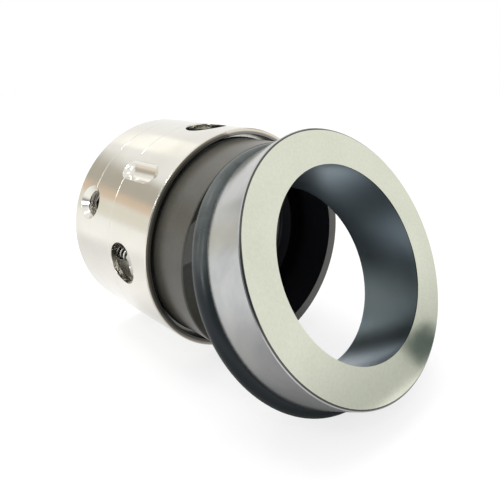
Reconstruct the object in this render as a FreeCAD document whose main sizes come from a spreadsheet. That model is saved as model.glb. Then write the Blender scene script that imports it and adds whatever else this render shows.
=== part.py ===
# Component mechanical seal: spring-loaded rotary head on its side, stationary seat leaning on it.
# +X runs along the shaft axis from the head's back face to its nose, +Z is up, millimetres.
import os

import FreeCAD
import Part
import Sketcher

V = FreeCAD.Vector
X_AXIS = V(1, 0, 0)
Y_AXIS = V(0, 1, 0)
SCREW_COUNT = 4
WINDOW_COUNT = 4
SPRING_COUNT = 12
DENT_COUNT = 4

# Driving sizes in millimetres and degrees. Angles go round +X, from +Z towards -Y.
SIZES = [
    ("shaft_radius", 25.0),
    ("bore_play", 0.05),
    ("head_height", 11.0),
    ("collar_length", 22.0),
    ("skirt_length", 22.0),
    ("skirt_wall", 1.95),
    ("edge_break", 0.3),
    ("blank_allowance", 10.0),
    ("score_rear", 10.0),
    ("score_front_inset", 20.9),
    ("score_half_width", 0.15),
    ("score_depth", 0.07),
    ("window_radius", 6.5),
    ("window_inset", 13.9),
    ("window_angle", 4.0),
    ("cut_past", 1.0),
    ("screw_radius", 4.0),
    ("thread_play", 0.02),
    ("screw_centre", 8.6),
    ("screw_angle", 70.0),
    ("screw_sink", 1.8),
    ("screw_recess", 3.2),
    ("screw_tip_gap", 0.2),
    ("screw_point_bevel", 1.2),
    ("screw_cup_rim", 0.6),
    ("screw_cup_depth", 1.0),
    ("screw_top_break", 0.5),
    ("socket_across_corners", 4.6),
    ("socket_depth", 4.0),
    ("dent_angle", 48.0),
    ("dent_back_inset", 24.8),
    ("dent_full_inset", 9.4),
    ("dent_front_inset", 5.6),
    ("dent_radius", 4.5),
    ("dent_depth", 1.6),
    ("dent_wall", 1.4),
    ("rib_front_reach", 0.7),
    ("notch_play", 0.25),
    ("pocket_radius", 2.6),
    ("pocket_floor_wall", 1.0),
    ("wire_radius", 0.32),
    ("spring_radius", 1.95),
    ("spring_turns", 6.5),
    ("end_play", 0.1),
    ("snap_ring_inset", 3.4),
    ("snap_ring_width", 1.0),
    ("snap_ring_height", 1.05),
    ("snap_gap", 9.0),
    ("snap_gap_end", 184.5),
    ("snap_groove_depth", 0.7),
    ("snap_play", 0.05),
    ("stop_gap", 0.2),
    ("nose_step", 0.95),
    ("nose_wall_share", 0.503),
    ("nose_reach", 13.1),
    ("nose_edge", 0.35),
    ("nose_bore_depth", 15.1),
    ("flange_play", 0.35),
    ("flange_length", 5.0),
    ("web_play", 0.5),
    ("ring_seal_section", 1.7),
    ("ring_seal_play", 0.15),
    ("disc_thickness", 5.0),
    ("disc_inner_play", 1.0),
    ("disc_outer_play", 0.65),
    ("seat_lean", 27.0),
    ("seat_side", -2.1),
    ("seat_gap", 0.3),
    ("seat_bore_play", 1.35),
    ("seat_face_inset", 0.1),
    ("seat_bevel_height", 0.7),
    ("seat_flange_length", 13.05),
    ("seat_bevel", 0.45),
    ("seat_thickness", 20.1),
    ("seat_rear_step", 3.85),
    ("seat_rear_bevel", 0.9),
    ("seat_seal_section", 2.85),
    ("touch_play", 0.02),
]

# Sizes worked out from the driving ones, as cell formulas.
WORKED_OUT = [
    ("bore_radius", "=shaft_radius + bore_play"),
    ("shell_radius", "=shaft_radius + head_height"),
    ("shell_length", "=collar_length + skirt_length"),
    ("blank_radius", "=shell_radius + blank_allowance"),
    ("skirt_inner", "=shell_radius - skirt_wall"),
    ("edge_radius", "=shell_radius - edge_break"),
    ("edge_front", "=shell_length - edge_break"),
    ("score_bottom", "=shell_radius - score_depth"),
    ("score_rear_start", "=score_rear - score_half_width"),
    ("score_rear_end", "=score_rear + score_half_width"),
    ("score_front", "=shell_length - score_front_inset"),
    ("score_front_start", "=score_front - score_half_width"),
    ("score_front_end", "=score_front + score_half_width"),
    ("snap_front", "=shell_length - snap_ring_inset"),
    ("snap_back", "=snap_front - snap_ring_width"),
    ("snap_groove_front", "=snap_front + snap_play"),
    ("snap_groove_back", "=snap_back - snap_play"),
    ("snap_groove_radius", "=skirt_inner + snap_groove_depth"),
    ("snap_ring_outer", "=snap_groove_radius - snap_play"),
    ("snap_sweep", "=360 - snap_gap"),
    ("snap_ring_inner", "=skirt_inner - snap_ring_height"),
    ("window_centre", "=shell_length - window_inset"),
    ("window_side", "=window_centre + window_radius"),
    ("window_rim_side", "=window_side + edge_break"),
    ("window_floor", "=skirt_inner - cut_past"),
    ("hole_side", "=screw_centre + screw_radius"),
    ("hole_sink_side", "=hole_side + screw_sink"),
    ("hole_sink_bottom", "=shell_radius - screw_sink"),
    ("hole_floor", "=shaft_radius - cut_past"),
    ("screw_body_radius", "=screw_radius - thread_play"),
    ("screw_point_radius", "=screw_body_radius - screw_point_bevel"),
    ("screw_cup_radius", "=screw_point_radius - screw_cup_rim"),
    ("screw_tip", "=bore_radius + screw_tip_gap"),
    ("screw_cup_top", "=screw_tip + screw_cup_depth"),
    ("screw_point_top", "=screw_tip + screw_point_bevel"),
    ("screw_top", "=shell_radius - screw_recess"),
    ("screw_top_bevel", "=screw_top - screw_top_break"),
    ("screw_top_radius", "=screw_body_radius - screw_top_break"),
    ("socket_bottom", "=screw_top - socket_depth"),
    ("dent_back", "=shell_length - dent_back_inset"),
    ("dent_full_end", "=shell_length - dent_full_inset"),
    ("dent_front", "=shell_length - dent_front_inset"),
    ("dent_line", "=shell_radius - dent_depth + dent_radius"),
    ("dent_bottom", "=dent_line - dent_radius"),
    ("dent_arc_end", "=dent_back + dent_radius"),
    ("rib_radius", "=dent_radius + dent_wall"),
    ("rib_back", "=dent_back - dent_wall"),
    ("rib_bottom", "=dent_line - rib_radius"),
    ("rib_front", "=dent_front + rib_front_reach"),
    ("notch_radius", "=rib_radius + notch_play"),
    ("pocket_pitch_radius", "=(bore_radius + shell_radius) / 2"),
    ("pocket_floor", "=hole_side + pocket_floor_wall"),
    ("pocket_depth", "=collar_length - pocket_floor"),
    ("flange_radius", "=skirt_inner - flange_play"),
    ("flange_front", "=snap_back - stop_gap"),
    ("flange_back", "=flange_front - flange_length"),
    ("disc_back", "=flange_back - disc_thickness"),
    ("disc_inner", "=shaft_radius + disc_inner_play"),
    ("disc_outer", "=skirt_inner - disc_outer_play"),
    ("nose_radius", "=flange_radius - nose_step"),
    ("nose_bore", "=nose_radius - nose_wall_share * (nose_radius - shaft_radius)"),
    ("nose_end", "=shell_length + nose_reach"),
    ("nose_bore_end", "=nose_end - nose_bore_depth"),
    ("nose_edge_start", "=nose_end - nose_edge"),
    ("nose_edge_radius", "=nose_radius - nose_edge"),
    ("web_radius", "=shaft_radius + web_play"),
    ("ring_seal_line", "=shaft_radius + ring_seal_play + ring_seal_section"),
    ("ring_seal_seat", "=ring_seal_line + ring_seal_section + touch_play"),
    ("ring_seal_centre", "=flange_back + ring_seal_section + touch_play"),
    ("ring_seal_floor", "=ring_seal_centre + ring_seal_section + touch_play"),
    ("spring_space", "=disc_back - pocket_floor - 2 * end_play - 2 * wire_radius"),
    ("spring_start", "=pocket_floor + end_play + wire_radius"),
    ("spring_pitch", "=spring_space / spring_turns"),
    ("seat_bore", "=shaft_radius + seat_bore_play"),
    ("seat_face_radius", "=shell_radius - seat_face_inset"),
    ("seat_flange_radius", "=seat_face_radius + seat_bevel_height"),
    ("seat_rear_radius", "=seat_flange_radius - seat_rear_step"),
    ("seat_flange_back", "=seat_thickness - seat_flange_length"),
    ("seat_bevel_start", "=seat_thickness - seat_bevel"),
    ("seat_rear_edge", "=seat_rear_radius - seat_rear_bevel"),
    ("seat_seal_line", "=seat_rear_radius + seat_seal_section + touch_play"),
    ("seat_seal_plane", "=seat_flange_back - seat_seal_section - touch_play"),
    ("seat_reach", "=seat_gap + seat_seal_section + seat_seal_line * sin(seat_lean * 1 deg)"),
    ("seat_x", "=nose_end + seat_reach - seat_seal_plane * cos(seat_lean * 1 deg)"),
    ("seat_rise", "=seat_seal_section + seat_seal_line * cos(seat_lean * 1 deg)"),
    ("seat_z", "=seat_rise - shell_radius - seat_seal_plane * sin(seat_lean * 1 deg)"),
]

doc = FreeCAD.newDocument("MechanicalSeal")
sheet = doc.addObject("Spreadsheet::Sheet", "Sizes")
for row, (alias, content) in enumerate(SIZES + WORKED_OUT, start=1):
    sheet.set(f"A{row}", alias)
    sheet.set(f"B{row}", str(content))
    sheet.setAlias(f"B{row}", alias)
doc.recompute()


def size(alias):
    """Value of one cell of the sheet."""
    return float(sheet.get(alias))


def new_body(label):
    """Body named after its node."""
    body = doc.addObject("PartDesign::Body", "Body_" + label)
    body.Label = label
    return body


def origin_feature(body, role):
    """Plane or axis of the body's own origin."""
    for feature in body.Origin.OriginFeatures:
        if feature.Role == role:
            return feature
    raise ValueError(role)


def new_sketch(body, name, role="XZ_Plane", turn=None, shift=None):
    """Sketch on an origin plane, turned about the shaft axis and moved along its normal."""
    sketch = body.newObject("Sketcher::SketchObject", name)
    sketch.AttachmentSupport = [(origin_feature(body, role), "")]
    sketch.MapMode = "FlatFace"
    if turn:
        local_axis = V(0, 0, 1) if role == "YZ_Plane" else X_AXIS
        sketch.AttachmentOffset = FreeCAD.Placement(V(0, 0, 0), FreeCAD.Rotation(local_axis, size(turn)))
        sketch.setExpression("AttachmentOffset.Rotation.Angle", f"Sizes.{turn} * 1 deg")
    if shift:
        sketch.setExpression("AttachmentOffset.Base.z", f"Sizes.{shift}")
    return sketch


def hold(sketch, kind, geometry, point, alias):
    """Tie one coordinate of a point to a cell, or to the sketch axis when alias is None."""
    if alias is None:
        axis = -2 if kind == "DistanceX" else -1
        sketch.addConstraint(Sketcher.Constraint("PointOnObject", geometry, point, axis))
        return
    index = sketch.addConstraint(Sketcher.Constraint(kind, -1, 1, geometry, point, size(alias)))
    sketch.setExpression(f"Constraints[{index}]", f"Sizes.{alias}")


def place(alias):
    """Coordinate of an alias, with None for zero."""
    return 0.0 if alias is None else size(alias)


def add_outline(sketch, corners, arc_after=None, arc_radius=None):
    """Closed outline through corners of cell names; one side may be a quarter arc."""
    points = [V(place(x), place(y), 0) for x, y in corners]
    count = len(points)
    for index, start in enumerate(points):
        end = points[(index + 1) % count]
        if index == arc_after:
            centre = V(end.x, start.y, 0)
            middle = centre + (start + end - centre * 2).normalize() * size(arc_radius)
            sketch.addGeometry(Part.Arc(start, middle, end), False)
        else:
            sketch.addGeometry(Part.LineSegment(start, end), False)
    starts = []
    ends = []
    for index in range(count):
        first_is_start = True
        if index == arc_after:
            arc = sketch.Geometry[index]
            first_is_start = arc.StartPoint.distanceToPoint(points[index]) < 1e-6
        starts.append(1 if first_is_start else 2)
        ends.append(2 if first_is_start else 1)
    for index in range(count):
        following = (index + 1) % count
        sketch.addConstraint(
            Sketcher.Constraint("Coincident", index, ends[index], following, starts[following]))
    for index, (x, y) in enumerate(corners):
        hold(sketch, "DistanceX", index, starts[index], x)
        hold(sketch, "DistanceY", index, starts[index], y)
    if arc_after is not None:
        held = sketch.addConstraint(Sketcher.Constraint("Radius", arc_after, size(arc_radius)))
        sketch.setExpression(f"Constraints[{held}]", f"Sizes.{arc_radius}")


def add_circle(sketch, x, y, radius):
    """Circle with its centre and radius tied to cells."""
    sketch.addGeometry(Part.Circle(V(place(x), place(y), 0), V(0, 0, 1), size(radius)), False)
    hold(sketch, "DistanceX", 0, 3, x)
    hold(sketch, "DistanceY", 0, 3, y)
    held = sketch.addConstraint(Sketcher.Constraint("Radius", 0, size(radius)))
    sketch.setExpression(f"Constraints[{held}]", f"Sizes.{radius}")


def add_turning_line(sketch, x=None, y=None):
    """Construction line used as the axis of a revolved feature: upright at x or level at y."""
    index = sketch.GeometryCount
    if x is not None:
        line = Part.LineSegment(V(size(x), 1, 0), V(size(x), 60, 0))
        sketch.addGeometry(line, True)
        sketch.addConstraint(Sketcher.Constraint("Vertical", index))
        hold(sketch, "DistanceX", index, 1, x)
    else:
        line = Part.LineSegment(V(1, size(y), 0), V(60, size(y), 0))
        sketch.addGeometry(line, True)
        sketch.addConstraint(Sketcher.Constraint("Horizontal", index))
        hold(sketch, "DistanceY", index, 1, y)


def turned(body, kind, name, sketch, axis="H_Axis", sweep=None):
    """Revolution or Groove of a sketch through a full turn, or through the angle of a cell."""
    feature = body.newObject("PartDesign::" + kind, name)
    feature.Profile = (sketch, [""])
    feature.ReferenceAxis = (sketch, [axis])
    feature.Angle = 360
    if sweep:
        feature.setExpression("Angle", f"Sizes.{sweep} * 1 deg")
    doc.recompute()
    body.Tip = feature
    return feature


def repeated(body, name, feature, count):
    """Polar pattern of a feature about the shaft axis."""
    pattern = body.newObject("PartDesign::PolarPattern", name)
    pattern.Originals = [feature]
    pattern.Axis = (origin_feature(body, "X_Axis"), [""])
    pattern.Angle = 360
    pattern.Occurrences = count
    body.Tip = pattern
    doc.recompute()
    return pattern


def pocket_forward(body, name, sketch, length, reverse):
    """Pocket of the given cell length along +X or, reversed, the other way."""
    pocket = body.newObject("PartDesign::Pocket", name)
    pocket.Profile = (sketch, [""])
    pocket.Reversed = reverse
    pocket.setExpression("Length", f"Sizes.{length}")
    doc.recompute()
    body.Tip = pocket
    return pocket


def make_retainer():
    """Turned collar and skirt in one piece, with windows, tapped holes, pockets and pressed dents."""
    body = new_body("retainer")
    blank = new_sketch(body, "RetainerBlank")
    add_outline(blank, [
        (None, "bore_radius"),
        (None, "blank_radius"),
        ("shell_length", "blank_radius"),
        ("shell_length", "skirt_inner"),
        ("snap_groove_front", "skirt_inner"),
        ("snap_groove_front", "snap_groove_radius"),
        ("snap_groove_back", "snap_groove_radius"),
        ("snap_groove_back", "skirt_inner"),
        ("collar_length", "skirt_inner"),
        ("collar_length", "bore_radius"),
    ])
    turned(body, "Revolution", "RetainerTurned", blank)

    # The metal pressed inwards behind each dent stands as a rib inside the skirt.
    rib_sketch = new_sketch(body, "RibOutline", turn="dent_angle")
    add_outline(rib_sketch, [
        ("rib_back", "dent_line"),
        ("dent_arc_end", "rib_bottom"),
        ("dent_full_end", "rib_bottom"),
        ("rib_front", "skirt_inner"),
        ("rib_front", "dent_line"),
    ], arc_after=0, arc_radius="rib_radius")
    add_turning_line(rib_sketch, y="dent_line")
    rib = turned(body, "Revolution", "Rib", rib_sketch, "Axis0")
    repeated(body, "Ribs", rib, DENT_COUNT)

    outside = new_sketch(body, "OutsideCut")
    add_outline(outside, [
        (None, "blank_radius"),
        (None, "edge_radius"),
        ("edge_break", "shell_radius"),
        ("score_rear_start", "shell_radius"),
        ("score_rear", "score_bottom"),
        ("score_rear_end", "shell_radius"),
        ("score_front_start", "shell_radius"),
        ("score_front", "score_bottom"),
        ("score_front_end", "shell_radius"),
        ("edge_front", "shell_radius"),
        ("shell_length", "edge_radius"),
        ("shell_length", "blank_radius"),
    ])
    turned(body, "Groove", "OutsideTurned", outside)

    dent_sketch = new_sketch(body, "DentOutline", turn="dent_angle")
    add_outline(dent_sketch, [
        ("dent_back", "dent_line"),
        ("dent_arc_end", "dent_bottom"),
        ("dent_full_end", "dent_bottom"),
        ("dent_front", "shell_radius"),
        ("dent_front", "dent_line"),
    ], arc_after=0, arc_radius="dent_radius")
    add_turning_line(dent_sketch, y="dent_line")
    dent = turned(body, "Groove", "Dent", dent_sketch, "Axis0")
    repeated(body, "Dents", dent, DENT_COUNT)

    window_sketch = new_sketch(body, "WindowOutline", turn="window_angle")
    add_outline(window_sketch, [
        ("window_centre", "window_floor"),
        ("window_side", "window_floor"),
        ("window_side", "edge_radius"),
        ("window_rim_side", "shell_radius"),
        ("window_rim_side", "blank_radius"),
        ("window_centre", "blank_radius"),
    ])
    add_turning_line(window_sketch, x="window_centre")
    window = turned(body, "Groove", "Window", window_sketch, "Axis0")
    repeated(body, "Windows", window, WINDOW_COUNT)

    hole_sketch = new_sketch(body, "ScrewHoleOutline", turn="screw_angle")
    add_outline(hole_sketch, [
        ("screw_centre", "hole_floor"),
        ("hole_side", "hole_floor"),
        ("hole_side", "hole_sink_bottom"),
        ("hole_sink_side", "shell_radius"),
        ("hole_sink_side", "blank_radius"),
        ("screw_centre", "blank_radius"),
    ])
    add_turning_line(hole_sketch, x="screw_centre")
    hole = turned(body, "Groove", "ScrewHole", hole_sketch, "Axis0")
    repeated(body, "ScrewHoles", hole, SCREW_COUNT)

    pocket_sketch = new_sketch(body, "SpringPocketOutline", "YZ_Plane", "window_angle", "collar_length")
    add_circle(pocket_sketch, None, "pocket_pitch_radius", "pocket_radius")
    pocket = pocket_forward(body, "SpringPocket", pocket_sketch, "pocket_depth", False)
    repeated(body, "SpringPockets", pocket, SPRING_COUNT)
    return body


def cut_notches(body, start, length):
    """Round-bottomed notches that clear the retainer's ribs, from a start place right through."""
    sketch = new_sketch(body, "NotchOutline", "YZ_Plane", "dent_angle", start)
    add_circle(sketch, None, "dent_line", "notch_radius")
    notch = pocket_forward(body, "Notch", sketch, length, True)
    repeated(body, "Notches", notch, DENT_COUNT)


def make_primary_ring():
    """Seal ring: lapped nose, notched drive flange, close web and counterbore for the shaft O-ring."""
    body = new_body("primary_ring")
    outline = new_sketch(body, "RingOutline")
    add_outline(outline, [
        ("flange_back", "ring_seal_seat"),
        ("flange_back", "flange_radius"),
        ("flange_front", "flange_radius"),
        ("flange_front", "nose_radius"),
        ("nose_edge_start", "nose_radius"),
        ("nose_end", "nose_edge_radius"),
        ("nose_end", "nose_bore"),
        ("nose_bore_end", "nose_bore"),
        ("nose_bore_end", "web_radius"),
        ("ring_seal_floor", "web_radius"),
        ("ring_seal_floor", "ring_seal_seat"),
    ])
    turned(body, "Revolution", "RingTurned", outline)
    cut_notches(body, "flange_back", "flange_length")
    return body


def make_thrust_disc():
    """Thick steel disc that passes the springs' push and the drive to the ring, notched like it."""
    body = new_body("thrust_disc")
    outline = new_sketch(body, "DiscOutline")
    add_outline(outline, [
        ("disc_back", "disc_inner"),
        ("disc_back", "disc_outer"),
        ("flange_back", "disc_outer"),
        ("flange_back", "disc_inner"),
    ])
    turned(body, "Revolution", "DiscTurned", outline)
    cut_notches(body, "disc_back", "disc_thickness")
    return body


def make_round_seal(label, plane, line, section):
    """O-ring whose section circle stands at the given place along and out from the axis."""
    body = new_body(label)
    sketch = new_sketch(body, "Section")
    add_circle(sketch, plane, line, section)
    turned(body, "Revolution", "Ring", sketch)
    return body


def make_snap_ring():
    """Split retaining ring in the skirt's groove, the stop that the ring's flange rests behind."""
    body = new_body("snap_ring")
    outline = new_sketch(body, "SnapOutline", turn="snap_gap_end")
    add_outline(outline, [
        ("snap_back", "snap_ring_inner"),
        ("snap_back", "snap_ring_outer"),
        ("snap_front", "snap_ring_outer"),
        ("snap_front", "snap_ring_inner"),
    ])
    turned(body, "Revolution", "SnapTurned", outline, sweep="snap_sweep")
    return body


def make_set_screw(number):
    """Cup-point socket set screw standing in its tapped hole, drawn along its own +Z."""
    body = new_body(f"set_screw_{number}")
    outline = new_sketch(body, "ScrewOutline")
    add_outline(outline, [
        (None, "screw_cup_top"),
        ("screw_cup_radius", "screw_tip"),
        ("screw_point_radius", "screw_tip"),
        ("screw_body_radius", "screw_point_top"),
        ("screw_body_radius", "screw_top_bevel"),
        ("screw_top_radius", "screw_top"),
        (None, "screw_top"),
    ])
    turned(body, "Revolution", "ScrewTurned", outline, "V_Axis")
    socket = body.newObject("PartDesign::SubtractivePrism", "HexSocket")
    socket.Polygon = 6
    socket.setExpression("Circumradius", "Sizes.socket_across_corners / 2")
    socket.setExpression("Height", "Sizes.socket_depth")
    socket.setExpression("Placement.Base.z", "Sizes.socket_bottom")
    doc.recompute()
    body.Tip = socket
    step = 360.0 / SCREW_COUNT * (number - 1)
    body.Placement = FreeCAD.Placement(V(0, 0, 0), FreeCAD.Rotation(X_AXIS, size("screw_angle") + step))
    body.setExpression("Placement.Base.x", "Sizes.screw_centre")
    body.setExpression("Placement.Rotation.Angle", f"(Sizes.screw_angle + {step}) * 1 deg")
    return body


def make_spring(number):
    """Compression spring of round wire, between its pocket's floor and the thrust disc."""
    name = f"spring_{number:02d}"
    helix = doc.addObject("Part::Helix", f"Coil_{number:02d}")
    helix.setExpression("Radius", "Sizes.spring_radius")
    helix.setExpression("Pitch", "Sizes.spring_pitch")
    helix.setExpression("Height", "Sizes.spring_space")
    wire = doc.addObject("Part::Circle", f"Wire_{number:02d}")
    wire.setExpression("Radius", "Sizes.wire_radius")
    wire.Placement = FreeCAD.Placement(V(0, 0, 0), FreeCAD.Rotation(X_AXIS, 90))
    wire.setExpression("Placement.Base.x", "Sizes.spring_radius")
    doc.recompute()
    spring = doc.addObject("Part::Sweep", name)
    spring.Label = name
    spring.Sections = [wire]
    spring.Spine = (helix, ["Edge%d" % (i + 1) for i in range(len(helix.Shape.Edges))])
    spring.Solid = True
    spring.Frenet = True
    step = 360.0 / SPRING_COUNT * (number - 1)
    turn = f"(Sizes.window_angle + {step}) * 1 deg"
    spring.Placement = FreeCAD.Placement(V(0, 0, 0), FreeCAD.Rotation(Y_AXIS, 90))
    spring.setExpression("Placement.Base.x", "Sizes.spring_start")
    spring.setExpression("Placement.Base.y", f"-Sizes.pocket_pitch_radius * sin({turn})")
    spring.setExpression("Placement.Base.z", f"Sizes.pocket_pitch_radius * cos({turn})")
    return spring


def lean(body):
    """Put a piece drawn along the seat's own axis where the seat leans on the nose."""
    body.Placement = FreeCAD.Placement(V(0, 0, 0), FreeCAD.Rotation(Y_AXIS * -1, size("seat_lean")))
    body.setExpression("Placement.Base.x", "Sizes.seat_x")
    body.setExpression("Placement.Base.y", "Sizes.seat_side")
    body.setExpression("Placement.Base.z", "Sizes.seat_z")
    body.setExpression("Placement.Rotation.Angle", "Sizes.seat_lean * 1 deg")


def make_seat():
    """Stationary seat: bevelled lapped face on a thick flange, smaller rear for the O-ring."""
    body = new_body("stationary_seat")
    outline = new_sketch(body, "SeatOutline")
    add_outline(outline, [
        (None, "seat_bore"),
        (None, "seat_rear_edge"),
        ("seat_rear_bevel", "seat_rear_radius"),
        ("seat_flange_back", "seat_rear_radius"),
        ("seat_flange_back", "seat_flange_radius"),
        ("seat_bevel_start", "seat_flange_radius"),
        ("seat_thickness", "seat_face_radius"),
        ("seat_thickness", "seat_bore"),
    ])
    turned(body, "Revolution", "SeatTurned", outline)
    lean(body)
    return body


nodes = [make_retainer(), make_primary_ring(), make_thrust_disc(), make_snap_ring(), make_seat()]
nodes.append(make_round_seal("shaft_o_ring", "ring_seal_centre", "ring_seal_line", "ring_seal_section"))
seat_seal = make_round_seal("seat_o_ring", "seat_seal_plane", "seat_seal_line", "seat_seal_section")
lean(seat_seal)
nodes.append(seat_seal)
nodes += [make_set_screw(number) for number in range(1, SCREW_COUNT + 1)]
nodes += [make_spring(number) for number in range(1, SPRING_COUNT + 1)]
doc.recompute()

for item in doc.Objects:
    if "Invalid" in item.State or "Error" in item.State:
        raise RuntimeError(f"{item.Label} failed: {item.State}")
for node in nodes:
    if node.Shape.isNull() or not node.Shape.isValid():
        raise RuntimeError(f"{node.Label} has no valid shape")

os.makedirs("parts", exist_ok=True)
for node in nodes:
    node.Shape.exportStep(f"parts/{node.Label}.step")
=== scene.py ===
import math

import bpy
import numpy as np
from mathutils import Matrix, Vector


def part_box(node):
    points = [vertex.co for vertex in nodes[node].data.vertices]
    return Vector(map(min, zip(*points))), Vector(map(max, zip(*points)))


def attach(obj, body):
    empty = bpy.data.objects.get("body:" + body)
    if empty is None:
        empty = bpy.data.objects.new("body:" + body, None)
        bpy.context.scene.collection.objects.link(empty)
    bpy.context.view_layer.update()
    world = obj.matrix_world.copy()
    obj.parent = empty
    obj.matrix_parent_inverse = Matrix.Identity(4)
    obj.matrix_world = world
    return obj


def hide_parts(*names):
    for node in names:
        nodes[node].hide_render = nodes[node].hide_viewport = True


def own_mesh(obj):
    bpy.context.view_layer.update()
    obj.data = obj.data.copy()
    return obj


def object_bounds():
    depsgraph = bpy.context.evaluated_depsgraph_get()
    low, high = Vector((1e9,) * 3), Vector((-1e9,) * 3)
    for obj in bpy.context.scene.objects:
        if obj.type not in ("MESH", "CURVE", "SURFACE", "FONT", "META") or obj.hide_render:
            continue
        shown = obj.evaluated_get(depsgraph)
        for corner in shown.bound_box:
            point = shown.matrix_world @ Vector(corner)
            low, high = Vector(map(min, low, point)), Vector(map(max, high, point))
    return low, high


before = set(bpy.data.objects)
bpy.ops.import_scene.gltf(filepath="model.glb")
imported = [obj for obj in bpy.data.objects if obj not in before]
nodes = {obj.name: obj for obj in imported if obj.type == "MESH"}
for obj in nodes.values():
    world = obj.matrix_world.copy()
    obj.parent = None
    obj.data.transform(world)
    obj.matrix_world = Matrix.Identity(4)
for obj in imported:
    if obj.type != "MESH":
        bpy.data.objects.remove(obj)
cad_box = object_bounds()

# Retainer: the head's shell, a thick collar and a thin skirt turned from one stainless bar.
# It is polished on the outside, drilled, tapped, windowed, and dented where it drives the ring.
SHAFT_LINE = (0.0, 0.0, 0.0)
SHAFT_DIRECTION = (1.0, 0.0, 0.0)
SHELL_COLOR = (0.80, 0.78, 0.715)
SHELL_DULL = (0.73, 0.70, 0.63)
SHELL_ROUGHNESS = (0.10, 0.19)
SHELL_LINES = 2600.0
SHELL_RELIEF = 0.12
SHELL_EDGE = 0.00022
SKIRT_START = 0.0222
SKIRT_BORE_RADIUS = 0.0342
SKIRT_BORE_SHADE_COLOR = (0.025, 0.025, 0.028)
SKIRT_BORE_DULLING = 0.3
LIP_START = 0.04396
LIP_REFLECTION_COLOR = (0.66, 0.60, 0.49)
LIP_EDGE_SHADE_COLOR = (0.20, 0.195, 0.19)
LIP_EDGE_SHADE_RADII = (0.0348, 0.0353)
LIP_DULLING = -0.08
TURNING_DRIFT_RATE = 18.0
TURNING_DRIFT = 6.0
BAND_RATES = (0.12, 0.12, 0.5)
PATCH_RANGE = (0.36, 0.66)
EDGE_LIKENESS = (0.90, 0.995)
METAL_PATCH_SIZE = 0.02
DULL_SHARE = 0.6
BAND_GLOSS = 0.6
WEAR_GLOSS = 0.4
GLOSS_RANGE = (0.1, 0.8)
RELIEF_DEPTH = 0.00002
MIX_SOCKETS = {"FLOAT": (2, 3, 0), "RGBA": (6, 7, 2)}


def feed(tree, given, socket):
    """Link a socket to another one, or set it to a plain number, vector or colour."""
    if isinstance(given, bpy.types.NodeSocket):
        tree.links.new(given, socket)
    elif socket.type == "RGBA":
        socket.default_value = (*given, 1.0)
    else:
        socket.default_value = given


def connect(tree, node, **values):
    """Feed the named inputs of a node; underscores stand for the spaces in a name."""
    for name, given in values.items():
        feed(tree, given, node.inputs[name.replace("_", " ")])


def add(tree, kind, **settings):
    """Node of a kind; each setting is a property of the node or else an input of it."""
    node = tree.nodes.new(kind)
    for name, given in settings.items():
        if hasattr(node, name):
            setattr(node, name, given)
        else:
            connect(tree, node, **{name: given})
    return node


def math_node(tree, operation, *values):
    """Value of a sum, product or other operation on sockets or plain numbers."""
    node = add(tree, "ShaderNodeMath", operation=operation)
    for given, socket in zip(values, node.inputs):
        feed(tree, given, socket)
    return node.outputs[0]


def vector_node(tree, operation, *values):
    """Node of a vector operation on sockets or plain vectors."""
    node = add(tree, "ShaderNodeVectorMath", operation=operation)
    for given, socket in zip(values, node.inputs):
        feed(tree, given, socket)
    return node


def spread(tree, value, low, high, start=0.0, end=1.0):
    """Value carried from the range start to end onto the range low to high, held at both ends."""
    return add(tree, "ShaderNodeMapRange", Value=value, From_Min=start, From_Max=end,
               To_Min=low, To_Max=high).outputs["Result"]


def mix(tree, kind, mask, first, second):
    """Number (FLOAT) or colour (RGBA) between two, plain or from sockets, by a mask."""
    node = add(tree, "ShaderNodeMix", data_type=kind, Factor=mask)
    first_input, second_input, output = MIX_SOCKETS[kind]
    feed(tree, first, node.inputs[first_input])
    feed(tree, second, node.inputs[second_input])
    return node.outputs[output]


def opposite(tree, mask):
    """1 less a mask."""
    return math_node(tree, "SUBTRACT", 1.0, mask)


def new_group(name, takes, gives):
    """Node group with named inputs, as kinds of socket, and named outputs."""
    group = bpy.data.node_groups.new(name, "ShaderNodeTree")
    for label, kind in takes.items():
        group.interface.new_socket(label, in_out="INPUT", socket_type=kind)
    for label, kind in gives.items():
        group.interface.new_socket(label, in_out="OUTPUT", socket_type=kind)
    return group, group.nodes.new("NodeGroupInput"), group.nodes.new("NodeGroupOutput")


def place_group(tree, group, **values):
    """The group in a material, with its inputs set to plain values or linked to sockets."""
    return add(tree, "ShaderNodeGroup", node_tree=group, **values)


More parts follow.
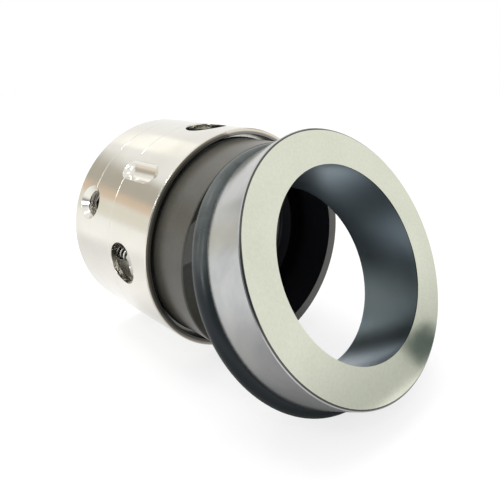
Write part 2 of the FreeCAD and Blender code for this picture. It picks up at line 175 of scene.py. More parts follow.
def turning_group():
    """Place along and out from an axis, and the fine rings that a cutting tool leaves round it.

    Along is the point's distance down the axis, Radius its distance out from it. Height is noise
    that changes fast with both, and only slowly round the piece, so that it draws rings. Bands is
    the same noise on a coarser scale.
    """
    group, start, end = new_group(
        "TurningMarks",
        {"Axis Point": "NodeSocketVector", "Axis Direction": "NodeSocketVector",
         "Lines per Metre": "NodeSocketFloat"},
        {"Along": "NodeSocketFloat", "Radius": "NodeSocketFloat", "Height": "NodeSocketFloat",
         "Bands": "NodeSocketFloat"})
    direction = start.outputs["Axis Direction"]
    lines = start.outputs["Lines per Metre"]
    place = add(group, "ShaderNodeTexCoord").outputs["Object"]
    arm = vector_node(group, "SUBTRACT", place, start.outputs["Axis Point"]).outputs[0]
    along = vector_node(group, "DOT_PRODUCT", arm, direction).outputs["Value"]
    foot = vector_node(group, "SCALE", direction)
    connect(group, foot, Scale=along)
    out = vector_node(group, "SUBTRACT", arm, foot.outputs[0]).outputs[0]
    radius = vector_node(group, "LENGTH", out).outputs["Value"]
    drift = add(group, "ShaderNodeTexNoise", Vector=place, Scale=TURNING_DRIFT_RATE, Detail=1.0)
    cut = add(group, "ShaderNodeCombineXYZ",
              X=math_node(group, "MULTIPLY", along, lines),
              Y=math_node(group, "MULTIPLY", radius, lines),
              Z=math_node(group, "MULTIPLY", drift.outputs["Fac"], TURNING_DRIFT)).outputs[0]
    rings = add(group, "ShaderNodeTexNoise", Vector=cut, Scale=1.0, Detail=3.0, Roughness=0.65)
    wide = vector_node(group, "MULTIPLY", cut, BAND_RATES).outputs[0]
    bands = add(group, "ShaderNodeTexNoise", Vector=wide, Scale=1.0, Detail=2.0)
    connect(group, end, Along=along, Radius=radius, Height=rings.outputs["Fac"],
            Bands=bands.outputs["Fac"])
    return group


def handling_group():
    """Uneven patches from handling: Mask is soft noise over the surface, held between 0 and 1."""
    group, start, end = new_group(
        "HandlingPatches", {"Size": "NodeSocketFloat"}, {"Mask": "NodeSocketFloat"})
    place = add(group, "ShaderNodeTexCoord").outputs["Object"]
    rate = math_node(group, "DIVIDE", 1.0, start.outputs["Size"])
    noise = add(group, "ShaderNodeTexNoise", Vector=place, Scale=rate, Detail=4.0, Roughness=0.55,
                Distortion=0.4)
    connect(group, end, Mask=spread(group, noise.outputs["Fac"], 0.0, 1.0, *PATCH_RANGE))
    return group


def edge_group():
    """Softened edges: Normal is rounded over the radius, Mask is 1 where a surface turns sharply."""
    group, start, end = new_group(
        "SoftEdges", {"Radius": "NodeSocketFloat"},
        {"Normal": "NodeSocketVector", "Mask": "NodeSocketFloat"})
    rounded = add(group, "ShaderNodeBevel", samples=6, Radius=start.outputs["Radius"]).outputs[0]
    true_normal = add(group, "ShaderNodeNewGeometry").outputs["Normal"]
    likeness = vector_node(group, "DOT_PRODUCT", rounded, true_normal).outputs["Value"]
    connect(group, end, Normal=rounded, Mask=spread(group, likeness, 1.0, 0.0, *EDGE_LIKENESS))
    return group


turning = turning_group()
handling = handling_group()
edges = edge_group()


def new_material(name, **constants):
    """Material with its tree and its Principled shader, some of whose own values are set."""
    material = bpy.data.materials.new(name)
    material.use_nodes = True
    tree = material.node_tree
    tree.nodes.clear()
    shader = add(tree, "ShaderNodeBsdfPrincipled", **constants)
    add(tree, "ShaderNodeOutputMaterial", Surface=shader.outputs["BSDF"])
    return material, tree, shader


def relief_normal(tree, height, strength, **normal):
    """Normal of a height, bumped over a softened normal where one is given."""
    return add(tree, "ShaderNodeBump", Height=height, Strength=strength, Distance=RELIEF_DEPTH,
               **normal).outputs["Normal"]


def turned_finish(tree, color, dull, roughness, lines, relief, edge_radius):
    """Finish of metal turned on the shaft's axis: its marks, then its colour, roughness and normal.

    The marks band the gloss and are cut into the relief; handling dulls it in patches, but not the
    edges, which stay bright.
    """
    marks = place_group(tree, turning, Axis_Point=SHAFT_LINE, Axis_Direction=SHAFT_DIRECTION,
                        Lines_per_Metre=lines)
    patches = place_group(tree, handling, Size=METAL_PATCH_SIZE)
    edge = place_group(tree, edges, Radius=edge_radius)
    wear = math_node(tree, "MULTIPLY", patches.outputs["Mask"],
                     opposite(tree, edge.outputs["Mask"]))
    tint = mix(tree, "RGBA", math_node(tree, "MULTIPLY", wear, DULL_SHARE), color, dull)
    gloss = math_node(tree, "MULTIPLY_ADD", marks.outputs["Bands"], BAND_GLOSS,
                      math_node(tree, "MULTIPLY", wear, WEAR_GLOSS))
    gloss = spread(tree, gloss, *roughness, *GLOSS_RANGE)
    normal = relief_normal(tree, marks.outputs["Height"], relief, Normal=edge.outputs["Normal"])
    return marks, tint, gloss, normal


def turned_metal(name, *finish):
    """Material of turned metal; what follows its name goes to turned_finish."""
    material, tree, shader = new_material(name, Metallic=1.0)
    _, tint, gloss, normal = turned_finish(tree, *finish)
    connect(tree, shader, Base_Color=tint, Roughness=gloss, Normal=normal)
    return material


def shell_metal():
    """Shell's metal: polished outside, with a lip tinted and darkened as painted reflection, and
    painted shade in the dull bore of the skirt.

    Painted shade darkens the lip at its inner edge.
    """
    material, tree, shader = new_material("PolishedShell", Metallic=1.0)
    marks, polish, gloss, normal = turned_finish(tree, SHELL_COLOR, SHELL_DULL, SHELL_ROUGHNESS,
                                                 SHELL_LINES, SHELL_RELIEF, SHELL_EDGE)
    along = marks.outputs["Along"]
    radius = marks.outputs["Radius"]
    lip = math_node(tree, "GREATER_THAN", along, LIP_START)
    # Painted shade: the skirt's bore is coloured near black, for the shade in the gap before the
    # nose.
    shaded_skirt_bore = math_node(tree, "MULTIPLY", math_node(tree, "GREATER_THAN", along, SKIRT_START),
                     math_node(tree, "LESS_THAN", radius, SKIRT_BORE_RADIUS))
    # Painted shade: the lip is dark near its inner edge, fading out between the two radii.
    unshaded_lip = spread(tree, radius, 0.0, 1.0, *LIP_EDGE_SHADE_RADII)
    # Painted reflection: the lip's straw, darker tone stands in for the warm and dark things it
    # mirrors.
    tint = mix(tree, "RGBA", lip, polish, mix(tree, "RGBA", unshaded_lip, LIP_EDGE_SHADE_COLOR, LIP_REFLECTION_COLOR))
    gloss = math_node(tree, "MULTIPLY_ADD", lip, LIP_DULLING, gloss)
    connect(tree, shader, Normal=normal,
            Base_Color=mix(tree, "RGBA", shaded_skirt_bore, tint, SKIRT_BORE_SHADE_COLOR),
            Roughness=math_node(tree, "MULTIPLY_ADD", shaded_skirt_bore, SKIRT_BORE_DULLING, gloss))
    return material


def finish_node(name, material):
    """Give a CAD piece its finish."""
    materials = nodes[name].data.materials
    materials.clear()
    materials.append(material)


finish_node("retainer", shell_metal())

# Set screws: four stainless cup-point screws with hexagon sockets, below the shell's surface.
# Each stands in a tapped hole, whose last thread shows between the screw and the countersink.
# Painted shade: the screws' and threads' steel is darker than the shell's, for the shade in the
# holes.
SCREW_SHADED_COLOR = (0.50, 0.48, 0.44)
SCREW_DULL = (0.33, 0.31, 0.28)
SCREW_ROUGHNESS = (0.16, 0.30)
SCREW_LINES = 3000.0
SCREW_RELIEF = 0.15
SCREW_EDGE = 0.00015
SCREW_COUNT = 4
SCREW_ANGLE = 70.0
SCREW_PLAY = 0.00002
COUNTERSINK_BOTTOM = 0.0342
THREAD_PITCH = 0.00075
THREAD_CREST = 0.00040
THREAD_FLANK = 0.00028
THREAD_CLEAR = 0.00006
THREAD_FADE_TURNS = 0.25
THREAD_LEAST = 0.03
THREAD_STEPS = 140

shaded_screw_steel = turned_metal("ScrewSteelShaded", SCREW_SHADED_COLOR, SCREW_DULL, SCREW_ROUGHNESS,
                           SCREW_LINES, SCREW_RELIEF, SCREW_EDGE)
for number in range(1, SCREW_COUNT + 1):
    finish_node(f"set_screw_{number}", shaded_screw_steel)


def new_object(name, data):
    """Object of a mesh, camera or light, in the scene."""
    made = bpy.data.objects.new(name, data)
    bpy.context.scene.collection.objects.link(made)
    return made


def grid_object(name, points):
    """Object of a grid of points, closed across and capped at both ends.

    Vertex (i, j) of the grid is number i * across + j. A face joins (i, j), (i, j + 1),
    (i + 1, j + 1) and (i + 1, j), the last column meeting the first. The caps are fans from the
    middle of the first row and of the last one.
    """
    along, across = points.shape[:2]
    ring = np.arange(across)
    following = (ring + 1) % across
    row = np.arange(along - 1)[:, None] * across
    sides = np.stack([row + ring, row + following, row + across + following, row + across + ring],
                     axis=-1).reshape(-1, 4)
    last_row = (along - 1) * across
    first_middle = np.full(across, along * across)
    first_cap = np.stack([first_middle, following, ring], axis=-1)
    last_cap = np.stack([first_middle + 1, last_row + ring, last_row + following], axis=-1)
    corners = np.vstack([points.reshape(-1, 3), points[0].mean(0), points[-1].mean(0)])
    mesh = bpy.data.meshes.new(name)
    mesh.from_pydata(corners, [], sides.tolist() + first_cap.tolist() + last_cap.tolist())
    mesh.validate()
    mesh.polygons.foreach_set("use_smooth", [True] * len(mesh.polygons))
    return new_object(name, mesh)


def directions_at(angle):
    """Unit vectors at an angle round the shell: out of it, along the shaft, and round it."""
    turn = math.radians(angle)
    out = np.array([0.0, -math.sin(turn), math.cos(turn)])
    shaft = np.array(SHAFT_DIRECTION)
    return out, shaft, np.cross(out, shaft)


def node_corners(name):
    """Corners of a CAD piece's mesh, one in each row."""
    vertices = nodes[name].data.vertices
    corners = np.empty(3 * len(vertices), dtype=np.float32)
    vertices.foreach_get("co", corners)
    return corners.reshape(-1, 3).astype(float)


def thread_surface(angle, centre_x, wall, low, high):
    """Last thread of a tapped hole: a ridge of three-cornered section wound round the hole's wall.

    At turn w the ridge stands at height low + pitch * w on the hole's axis. Its three corners are
    on the wall below and above that height, and at the crest, nearer to the axis by a depth that
    rises from next to nothing over the first quarter turn and falls back over the last one.
    """
    out, shaft, round_shell = directions_at(angle)
    turns = (high - low) / THREAD_PITCH
    w = np.linspace(0.0, turns, THREAD_STEPS)
    fade = np.clip(np.minimum(w, turns - w) / THREAD_FADE_TURNS, THREAD_LEAST, 1.0)
    foot = np.full_like(w, wall)
    radii = np.stack([foot, wall - THREAD_CREST * fade, foot], axis=1)
    flanks = np.stack([-THREAD_FLANK * fade, 0 * w, THREAD_FLANK * fade], axis=1)
    rises = (low + THREAD_PITCH * w)[:, None] + flanks
    spin = 2 * np.pi * w[:, None, None]
    ring = np.cos(spin) * shaft + np.sin(spin) * round_shell
    return centre_x * shaft + radii[..., None] * ring + rises[..., None] * out


screw_low, screw_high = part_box("set_screw_1")
screw_x = (screw_low.x + screw_high.x) / 2
hole_radius = (screw_high.x - screw_low.x) / 2 + SCREW_PLAY
screw_top = float((node_corners("set_screw_1") @ directions_at(SCREW_ANGLE)[0]).max())
thread_low = screw_top + THREAD_FLANK + THREAD_CLEAR
thread_high = COUNTERSINK_BOTTOM - THREAD_FLANK
for number in range(1, SCREW_COUNT + 1):
    angle = SCREW_ANGLE + 360.0 / SCREW_COUNT * (number - 1)
    surface = thread_surface(angle, screw_x, hole_radius, thread_low, thread_high)
    thread = grid_object(f"tapped_thread_{number}", surface)
    thread.data.materials.append(shaded_screw_steel)
    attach(thread, "shell")

# Springs: twelve small coils of drawn stainless wire in blind pockets of the collar.
# Their end coils lie closed and are ground flat; they push the thrust disc towards the nose.
SPRING_COUNT = 12
SPRING_ANGLE = 4.0
SPRING_PITCH_RADIUS = 0.030525
SPRING_COIL_RADIUS = 0.00195
SPRING_WIRE_RADIUS = 0.00034
SPRING_END_DEPTH = SPRING_WIRE_RADIUS / 2
SPRING_TURNS = 8.5
SPRING_END_TURNS = 1.1
SPRING_OPENING_TURNS = 0.5
SPRING_STEPS = 420
SPRING_SIDES = 14
SPRING_COLOR = (0.82, 0.80, 0.75)
SPRING_DULL = (0.70, 0.68, 0.63)
SPRING_ROUGHNESS = (0.18, 0.34)
SPRING_STREAK_RATE = 2400.0
SPRING_PATCH_SIZE = 0.003


def spring_surface(angle, start, length):
    """Coil of round wire along the shaft, with closed, flat-ground ends.

    At turn w the wire's middle is at the coil's radius, turned by w, and at a height that grows by
    the local pitch: one wire's thickness in the end turns, an even larger pitch between them. The
    wire's skin stands one wire radius off its middle, and what lies past either end is cut flat.
    """
    out, shaft, round_shell = directions_at(angle)
    w = np.linspace(0.0, SPRING_TURNS, SPRING_STEPS)
    from_end = np.minimum(w, SPRING_TURNS - w)
    open_share = np.clip((from_end - SPRING_END_TURNS) / SPRING_OPENING_TURNS + 0.5, 0.0, 1.0)
    open_share = open_share * open_share * (3 - 2 * open_share)
    step = SPRING_TURNS / (SPRING_STEPS - 1)
    opened = np.concatenate([[0.0], np.cumsum(open_share[1:] + open_share[:-1]) * step / 2])
    closed_rise = 2 * SPRING_WIRE_RADIUS * w
    open_rise = length - 2 * SPRING_END_DEPTH - closed_rise[-1]
    rise = SPRING_END_DEPTH + closed_rise + opened * open_rise / opened[-1]
    spin = 2 * np.pi * w[:, None, None]
    around = np.linspace(0.0, 2 * np.pi, SPRING_SIDES, endpoint=False)[None, :]
    reach = SPRING_COIL_RADIUS + SPRING_WIRE_RADIUS * np.cos(around)
    along = start + np.clip(rise[:, None] + SPRING_WIRE_RADIUS * np.sin(around), 0.0, length)
    ring = np.cos(spin) * out + np.sin(spin) * round_shell
    return SPRING_PITCH_RADIUS * out + reach[..., None] * ring + along[..., None] * shaft


def wire_metal():
    """Drawn wire: bright, with fine uneven gloss along it."""
    material, tree, shader = new_material("SpringWire", Metallic=1.0)
    place = add(tree, "ShaderNodeTexCoord").outputs["Object"]
    streaks = add(tree, "ShaderNodeTexNoise", Vector=place, Scale=SPRING_STREAK_RATE, Detail=2.0)
    patches = place_group(tree, handling, Size=SPRING_PATCH_SIZE)
    connect(tree, shader, Roughness=spread(tree, streaks.outputs["Fac"], *SPRING_ROUGHNESS),
            Base_Color=mix(tree, "RGBA", patches.outputs["Mask"], SPRING_COLOR, SPRING_DULL))
    return material


spring_wire = wire_metal()
spring_low, spring_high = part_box("spring_01")
spring_length = spring_high.x - spring_low.x
for number in range(1, SPRING_COUNT + 1):
    angle = SPRING_ANGLE + 360.0 / SPRING_COUNT * (number - 1)
    surface = spring_surface(angle, spring_low.x, spring_length)
    coil = grid_object(f"coil_spring_{number:02d}", surface)
    coil.data.materials.append(spring_wire)
    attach(coil, "shell")
    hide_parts(f"spring_{number:02d}")
    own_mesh(coil)

# Thrust disc and snap ring: flat stainless pieces inside the skirt, behind and before the ring.
# The disc is punched and deburred, the snap ring is sprung into the skirt's groove.
DISC_COLOR = (0.70, 0.685, 0.64)
DISC_DULL = (0.55, 0.535, 0.49)
DISC_ROUGHNESS = (0.20, 0.34)
DISC_LINES = 2200.0
DISC_RELIEF = 0.15
DISC_EDGE = 0.00015

plain_steel = turned_metal("PlainSteel", DISC_COLOR, DISC_DULL, DISC_ROUGHNESS,
                           DISC_LINES, DISC_RELIEF, DISC_EDGE)
finish_node("thrust_disc", plain_steel)
finish_node("snap_ring", plain_steel)

# Primary ring: sintered dark ceramic, ground on its nose and flange and lapped on its end face.
# It floats in the skirt on the shaft O-ring, keyed by the retainer's dents.
RING_COLOR = (0.064, 0.062, 0.051)
RING_WORN = (0.098, 0.092, 0.075)
RING_BORE_SHADE_COLOR = (0.010, 0.011, 0.014)
RING_ROUGHNESS = (0.25, 0.36)
RING_LAPPED_ROUGHNESS = 0.05
RING_BORE_DULLING = 0.35
RING_IOR = 1.55
RING_LINES = 3200.0
RING_RELIEF = 0.2
RING_EDGE = 0.00025
RING_PATCH_SIZE = 0.006
RING_PATCH_SHARE = 0.30
RING_SPECKLE_SIZE = 0.0006
RING_SPECKLE_SHARE = 0.40
LAP_DEPTH = 0.00004
BORE_LEEWAY = 0.0001


def ring_ceramic():
    """Dark ceramic: ground and speckled outside, a mirror on its end face, painted shade in its
    bore.
    """
    material, tree, shader = new_material("RingCarbide", IOR=RING_IOR)
    corners = node_corners("primary_ring")
    nose_end = float(corners[:, 0].max())
    end_corners = corners[corners[:, 0] > nose_end - LAP_DEPTH]
    bore_radius = float(np.hypot(end_corners[:, 1], end_corners[:, 2]).min())
    marks = place_group(tree, turning, Axis_Point=SHAFT_LINE, Axis_Direction=SHAFT_DIRECTION,
                        Lines_per_Metre=RING_LINES)
    patches = place_group(tree, handling, Size=RING_PATCH_SIZE)
    speckle = place_group(tree, handling, Size=RING_SPECKLE_SIZE)
    edge = place_group(tree, edges, Radius=RING_EDGE)
    lapped = math_node(tree, "GREATER_THAN", marks.outputs["Along"], nose_end - LAP_DEPTH)
    unlapped = opposite(tree, lapped)
    within = math_node(tree, "LESS_THAN", marks.outputs["Radius"], bore_radius + BORE_LEEWAY)
    shaded_bore = math_node(tree, "MULTIPLY", within, unlapped)
    cloud = math_node(tree, "MULTIPLY_ADD", speckle.outputs["Mask"], RING_SPECKLE_SHARE,
                      math_node(tree, "MULTIPLY", patches.outputs["Mask"], RING_PATCH_SHARE))
    worn = math_node(tree, "MAXIMUM", cloud, edge.outputs["Mask"])
    outside = mix(tree, "RGBA", worn, RING_COLOR, RING_WORN)
    ground = math_node(tree, "MULTIPLY_ADD", shaded_bore, RING_BORE_DULLING,
                       spread(tree, marks.outputs["Bands"], *RING_ROUGHNESS))
    height = math_node(tree, "MULTIPLY", marks.outputs["Height"], unlapped)
    # Painted shade: the bore is coloured near black and made metal, so that it barely reflects.
    connect(tree, shader, Metallic=shaded_bore,
            Base_Color=mix(tree, "RGBA", shaded_bore, outside, RING_BORE_SHADE_COLOR),
            Roughness=mix(tree, "FLOAT", lapped, ground, RING_LAPPED_ROUGHNESS),
            Normal=relief_normal(tree, height, RING_RELIEF, Normal=edge.outputs["Normal"]))
    return material


finish_node("primary_ring", ring_ceramic())

# Stationary seat: a ground ring of grey hard metal with a thick flange and a stepped back.
# Its front face is lapped to a mirror; it leans on the nose, so its own axis is tilted upwards.
SEAT_LEAN = math.radians(27.0)
SEAT_DIRECTION = (math.cos(SEAT_LEAN), 0.0, math.sin(SEAT_LEAN))
SEAT_FACE_COLOR = (0.71, 0.73, 0.61)
SEAT_FACE_MOTTLE = (0.62, 0.64, 0.525)
SEAT_SIDE_COLOR = (0.55, 0.555, 0.54)
SEAT_SIDE_WORN = (0.44, 0.45, 0.455)
SEAT_BORE_SHADE_COLOR = (0.205, 0.260, 0.295)
SEAT_BORE_RADIUS = 0.02635
SEAT_BORE_DULLING = 0.11
SEAT_BORE_SMOOTHNESS = 0.7
SEAT_RIM_COLOR = (0.10, 0.095, 0.09)
SEAT_RIM_DEPTH = 0.00030
SEAT_ROUGHNESS = (0.14, 0.25)
SEAT_LAPPED_ROUGHNESS = (0.06, 0.10)
SEAT_LINES = 2800.0
SEAT_RELIEF = 0.2
SEAT_SMOOTHED_RINGS = 0.9
SEAT_MOTTLE_RELIEF = 0.05
SEAT_PATCH_SIZE = 0.014
SEAT_MOTTLE_SIZE = 0.0008
SEAT_CLOUD_SHARE = 0.35
SAME_PLACE = 1e-6


def seat_axis_facts():
    """A point on the seat's axis, and how far along that axis its face lies."""
    corners = node_corners("stationary_seat")
    direction = np.array(SEAT_DIRECTION)
    along = corners @ direction
    face = corners[along > along.max() - SAME_PLACE]
    middle = (face.max(0) + face.min(0)) / 2
    return tuple(middle - direction * along.max()), float(along.max())


def seat_metal():
    """Hard metal: ground sides with rings, painted shade in its bore, a clouded mirror on its face.

    The last 0.3 mm before the face, at its two sharp edges, are dark.
    """
    material, tree, shader = new_material("LappedCarbide", Metallic=1.0)
    point, face_place = seat_axis_facts()
    marks = place_group(tree, turning, Axis_Point=point, Axis_Direction=SEAT_DIRECTION,
                        Lines_per_Metre=SEAT_LINES)
    along = marks.outputs["Along"]
    patches = place_group(tree, handling, Size=SEAT_PATCH_SIZE).outputs["Mask"]
    mottle = place_group(tree, handling, Size=SEAT_MOTTLE_SIZE).outputs["Mask"]
    lapped = math_node(tree, "GREATER_THAN", along, face_place - LAP_DEPTH)
    rim = math_node(tree, "GREATER_THAN", along, face_place - SEAT_RIM_DEPTH)
    shaded_bore = math_node(tree, "LESS_THAN", marks.outputs["Radius"], SEAT_BORE_RADIUS + BORE_LEEWAY)
    side = mix(tree, "RGBA", patches, SEAT_SIDE_COLOR, SEAT_SIDE_WORN)
    # Painted shade: the bore is coloured a darker blue-grey than the sides.
    side = mix(tree, "RGBA", shaded_bore, side, SEAT_BORE_SHADE_COLOR)
    side = mix(tree, "RGBA", rim, side, SEAT_RIM_COLOR)
    clouded = math_node(tree, "MULTIPLY_ADD", patches, SEAT_CLOUD_SHARE,
                        math_node(tree, "MULTIPLY", mottle, SEAT_CLOUD_SHARE))
    face = mix(tree, "RGBA", clouded, SEAT_FACE_COLOR, SEAT_FACE_MOTTLE)
    ground = math_node(tree, "MULTIPLY_ADD", shaded_bore, SEAT_BORE_DULLING,
                       spread(tree, marks.outputs["Bands"], *SEAT_ROUGHNESS))
    mirror = spread(tree, patches, *SEAT_LAPPED_ROUGHNESS)
    smooth = math_node(tree, "MAXIMUM", lapped,
                       math_node(tree, "MULTIPLY", shaded_bore, SEAT_BORE_SMOOTHNESS))
    rings = math_node(tree, "MULTIPLY", marks.outputs["Height"],
                      math_node(tree, "MULTIPLY_ADD", smooth, -SEAT_SMOOTHED_RINGS, 1.0))
    height = math_node(tree, "MULTIPLY_ADD", math_node(tree, "MULTIPLY", mottle, lapped),
                       SEAT_MOTTLE_RELIEF, rings)
    connect(tree, shader, Base_Color=mix(tree, "RGBA", lapped, side, face),
            Roughness=mix(tree, "FLOAT", lapped, ground, mirror),
            Normal=relief_normal(tree, height, SEAT_RELIEF))
    return material


finish_node("stationary_seat", seat_metal())

# O-rings: moulded black rubber, one behind the seat's flange, one between the ring and the shaft.
# They are satin, with fine grain, and painted top light: a pale tone high up, uneven in patches.
RUBBER_COLOR = (0.006, 0.011, 0.014)
RUBBER_TOP_LIGHT_COLOR = (0.088, 0.102, 0.098)
RUBBER_SHINE = 0.32
RUBBER_ROUGHNESS = (0.26, 0.38)
RUBBER_RELIEF = 0.15
RUBBER_GRAIN_RATE = 5000.0
RUBBER_PATCH_SIZE = 0.008
TOP_LIGHT_HEIGHTS = (0.003, 0.018)
TOP_LIGHT_SHARES = (0.5, 1.0)


def moulded_rubber():
    """Satin rubber with fine grain, and painted top light: an uneven pale tone high up on it."""
    material, tree, shader = new_material("MouldedRubber", Specular_IOR_Level=RUBBER_SHINE)
    place = add(tree, "ShaderNodeTexCoord").outputs["Object"]
    patches = place_group(tree, handling, Size=RUBBER_PATCH_SIZE).outputs["Mask"]
    parts = add(tree, "ShaderNodeSeparateXYZ", Vector=place)
    # Painted light: the pale tone grows with height and stands in for light from above.
    upper = spread(tree, parts.outputs["Z"], 0.0, 1.0, *TOP_LIGHT_HEIGHTS)
    painted_top_light = math_node(tree, "MULTIPLY", upper, spread(tree, patches, *TOP_LIGHT_SHARES))
    grain = add(tree, "ShaderNodeTexNoise", Vector=place, Scale=RUBBER_GRAIN_RATE, Detail=2.0)
    connect(tree, shader, Base_Color=mix(tree, "RGBA", painted_top_light, RUBBER_COLOR, RUBBER_TOP_LIGHT_COLOR),
            Roughness=spread(tree, patches, *RUBBER_ROUGHNESS),
            Normal=relief_normal(tree, grain.outputs["Fac"], RUBBER_RELIEF))
    return material


rubber = moulded_rubber()
finish_node("shaft_o_ring", rubber)
finish_node("seat_o_ring", rubber)

# Camera: it looks down at the pair from the front left of the nose, through a 36 mm lens.
# The small shift frames the pair a little right of the middle and low, as in the picture.
CAMERA_PLACE = Vector((0.16136, -0.10210, 0.05198))
CAMERA_FORWARD = Vector((-0.681, 0.676, -0.282))
CAMERA_LENS = 35.98
CAMERA_SENSOR = 36.0
CAMERA_SHIFT = (-0.0468, -0.0586)
CAMERA_RANGE = (0.01, 10.0)


def turn_towards(made, direction):
    """Turn a camera or a lamp so that it faces along a direction, upright."""
    made.rotation_mode = "QUATERNION"
    made.rotation_quaternion = direction.to_track_quat("-Z", "Y")


camera_data = bpy.data.cameras.new("StillCamera")
camera_data.lens = CAMERA_LENS
camera_data.sensor_width = CAMERA_SENSOR
camera_data.shift_x, camera_data.shift_y = CAMERA_SHIFT
camera_data.clip_start, camera_data.clip_end = CAMERA_RANGE
camera = new_object("StillCamera", camera_data)
camera.location = CAMERA_PLACE
turn_towards(camera, CAMERA_FORWARD)
bpy.context.scene.camera = camera

# Floor: a wide sheet of white paper, a hair below the pair, that keeps their soft shadow.
# Seen directly or mirrored, it is lifted to the white of the background, but for the mirrors it
# is lifted less in three shades round the pair, each a middle, a reach and the share left there.
FLOOR_HALF = 2.0
FLOOR_DROP = 0.00005
FLOOR_COLOR = (0.24, 0.24, 0.24)
FLOOR_ROUGHNESS = 0.9
FLOOR_GLOW = (1.0, 1.0, 1.0)
FLOOR_LIFT = 0.74
FLOOR_SHADES = {
    "beside_the_seat": {"middle": (0.085, -0.050, 0.0), "reach": (0.0, 0.090), "left": 0.20},
    "under_the_nose": {"middle": (0.078, -0.005, 0.0), "reach": (0.014, 0.040), "left": 0.05},
    "behind_the_head": {"middle": (-0.080, -0.060, 0.0), "reach": (0.020, 0.080), "left": 0.72},
}


def floor_sheet():
    """Square sheet under the pair, its corners at plus and minus the half side."""
    corners = np.array([(-1.0, -1.0, 0.0), (1.0, -1.0, 0.0), (1.0, 1.0, 0.0), (-1.0, 1.0, 0.0)])
    corners *= FLOOR_HALF
    corners[:, 2] = cad_box[0].z - FLOOR_DROP
    mesh = bpy.data.meshes.new("floor")
    mesh.from_pydata(corners, [], [(0, 1, 2, 3)])
    return new_object("floor", mesh)


def seen_or_mirrored(tree):
    """1 on rays from the camera, through glass and from mirrors; less for mirrors in a shade."""
    path = add(tree, "ShaderNodeLightPath")
    place = add(tree, "ShaderNodeTexCoord").outputs["Object"]
    flat = vector_node(tree, "MULTIPLY", place, (1.0, 1.0, 0.0)).outputs[0]
    mirrored = path.outputs["Is Glossy Ray"]
    for shade in FLOOR_SHADES.values():
        away = vector_node(tree, "DISTANCE", flat, shade["middle"]).outputs["Value"]
        left = spread(tree, away, shade["left"], 1.0, *shade["reach"])
        mirrored = math_node(tree, "MULTIPLY", mirrored, left)
    seen = math_node(tree, "ADD", path.outputs["Is Camera Ray"], mirrored)
    seen = math_node(tree, "ADD", seen, path.outputs["Is Transmission Ray"])
    return math_node(tree, "MINIMUM", seen, 1.0)


def floor_paper():
    """Matt paper that glows white, by the share that floor lift gives, on the rays that show it."""
    material, tree, shader = new_material("FloorPaper", Base_Color=FLOOR_COLOR,
                                          Roughness=FLOOR_ROUGHNESS, Emission_Color=FLOOR_GLOW)
    lift = math_node(tree, "MULTIPLY", seen_or_mirrored(tree), FLOOR_LIFT)
    connect(tree, shader, Emission_Strength=lift)
    return material


floor = floor_sheet()
floor.data.materials.append(floor_paper())

# Room: a white studio all round, with a few darker things in it that the bright metal mirrors.
# Each is a direction, how wide and how tall it is in degrees, its soft edge, and its colour.
ROOM_WHITE = (1.0, 1.0, 1.0)
ROOM_STRENGTH = 1.0
ROOM_THINGS = {
    "cream_skirting": {"azimuth": 211.0, "height": 4.5, "half_wide": 24.0, "half_tall": 4.5,
                       "soft": 5.0, "color": (0.88, 0.86, 0.77)},
    "grey_board": {"azimuth": 204.0, "height": 19.5, "half_wide": 21.0, "half_tall": 7.0,
                   "soft": 5.0, "color": (0.52, 0.49, 0.43)},
    "warm_strip": {"azimuth": 208.0, "height": 12.5, "half_wide": 9.0, "half_tall": 2.8,
                   "soft": 3.0, "color": (0.80, 0.63, 0.49)},
    "window": {"azimuth": 170.0, "height": 31.0, "half_wide": 8.0, "half_tall": 3.5,
               "soft": 4.0, "color": (1.3, 1.28, 1.22)},
    "shaded_camera_side": {"azimuth": 318.0, "height": 28.0, "half_wide": 30.0, "half_tall": 20.0,
                           "soft": 14.0, "color": (0.24, 0.26, 0.28)},
    "dim_far_wall": {"azimuth": 48.0, "height": -1.0, "half_wide": 28.0, "half_tall": 6.0,
                     "soft": 12.0, "color": (0.62, 0.63, 0.62)},
    "dark_stand": {"azimuth": 51.6, "height": 1.9, "half_wide": 2.0, "half_tall": 1.7,
                   "soft": 1.2, "color": (0.09, 0.12, 0.12)},
    "side_drape": {"azimuth": 96.0, "height": 36.0, "half_wide": 30.0, "half_tall": 7.0,
                   "soft": 7.0, "color": (0.55, 0.54, 0.52)},
    "end_drape": {"azimuth": 3.0, "height": 39.0, "half_wide": 24.0, "half_tall": 7.0,
                  "soft": 7.0, "color": (0.55, 0.54, 0.52)},
}


def thing_mask(tree, looking, thing):
    """1 inside a box of azimuth and height round a direction, falling to 0 over its soft edge."""
    turn = math.radians(thing["azimuth"])
    forward = (math.cos(turn), math.sin(turn), 0.0)
    leftward = (-math.sin(turn), math.cos(turn), 0.0)
    side = vector_node(tree, "DOT_PRODUCT", looking, leftward).outputs["Value"]
    front = vector_node(tree, "DOT_PRODUCT", looking, forward).outputs["Value"]
    upward = add(tree, "ShaderNodeSeparateXYZ", Vector=looking).outputs["Z"]
    beside = math_node(tree, "ABSOLUTE", math_node(tree, "ARCTAN2", side, front))
    above = math_node(tree, "SUBTRACT", math_node(tree, "ARCSINE", upward),
                      math.radians(thing["height"]))
    above = math_node(tree, "ABSOLUTE", above)
    soft = math.radians(thing["soft"])
    masks = []
    for value, half in ((beside, thing["half_wide"]), (above, thing["half_tall"])):
        inner = math.radians(half) - soft / 2
        edge = add(tree, "ShaderNodeMapRange", interpolation_type="SMOOTHSTEP", Value=value,
                   From_Min=inner, From_Max=inner + soft, To_Min=1.0, To_Max=0.0)
        masks.append(edge.outputs["Result"])
    return math_node(tree, "MULTIPLY", *masks)


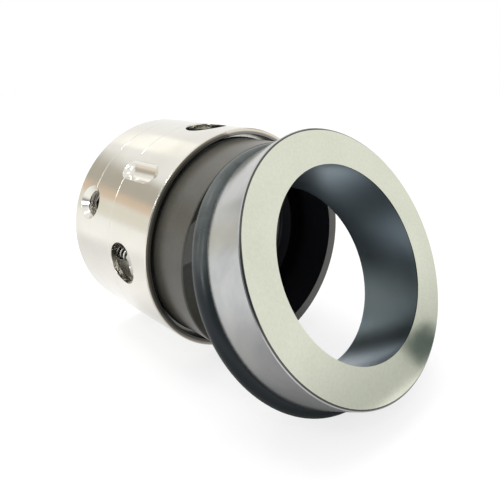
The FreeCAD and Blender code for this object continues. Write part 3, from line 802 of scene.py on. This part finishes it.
room = bpy.data.worlds.new("Room")
bpy.context.scene.world = room
room.use_nodes = True
room_tree = room.node_tree
looking = add(room_tree, "ShaderNodeTexCoord").outputs["Generated"]
around = ROOM_WHITE
for thing in ROOM_THINGS.values():
    around = mix(room_tree, "RGBA", thing_mask(room_tree, looking, thing), around, thing["color"])
rays = add(room_tree, "ShaderNodeLightPath")
straight = math_node(room_tree, "MAXIMUM", rays.outputs["Is Camera Ray"],
                     rays.outputs["Is Transmission Ray"])
backdrop = mix(room_tree, "RGBA", straight, around, ROOM_WHITE)
connect(room_tree, room_tree.nodes["Background"], Color=backdrop, Strength=ROOM_STRENGTH)

# Lamps: soft light from overhead, which metal doesn't mirror, and four small boxes for the glints.
# The small ones show in the scored lines, dents and countersinks, and hardly light the pair.
OVERHEAD_DIRECTION = Vector((-0.25, -0.05, 0.97))
OVERHEAD_STRENGTH = 1.2
OVERHEAD_SPREAD = math.radians(36.0)
GLINT_AIM = Vector((0.02, -0.02, 0.02))
GLINT_DISTANCE = 0.55
GLINTS = {
    "upper_scores": {"direction": (-0.27, -0.27, 0.92), "size": (0.05, 0.05), "power": 0.22},
    "lower_scores": {"direction": (-0.19, -0.80, 0.57), "size": (0.04, 0.20), "power": 0.18},
    "dents": {"direction": (0.46, -0.52, 0.72), "size": (0.05, 0.05), "power": 0.22},
    "countersinks": {"direction": (0.40, -0.78, 0.48), "size": (0.08, 0.08), "power": 0.40},
}


def hang_lamp(name, kind, direction, place):
    """Lamp of a kind at a place, shining against a direction."""
    lamp = new_object(name, bpy.data.lights.new(name, kind))
    lamp.location = place
    turn_towards(lamp, -direction)
    return lamp


overhead = hang_lamp("overhead", "SUN", OVERHEAD_DIRECTION, OVERHEAD_DIRECTION)
overhead.data.energy = OVERHEAD_STRENGTH
overhead.data.angle = OVERHEAD_SPREAD
overhead.visible_glossy = False
for name, facts in GLINTS.items():
    direction = Vector(facts["direction"]).normalized()
    glint = hang_lamp(name, "AREA", direction, GLINT_AIM + direction * GLINT_DISTANCE)
    glint.data.shape = "RECTANGLE"
    glint.data.size, glint.data.size_y = facts["size"]
    glint.data.energy = facts["power"]

bpy.context.scene.view_settings.view_transform = "Standard"
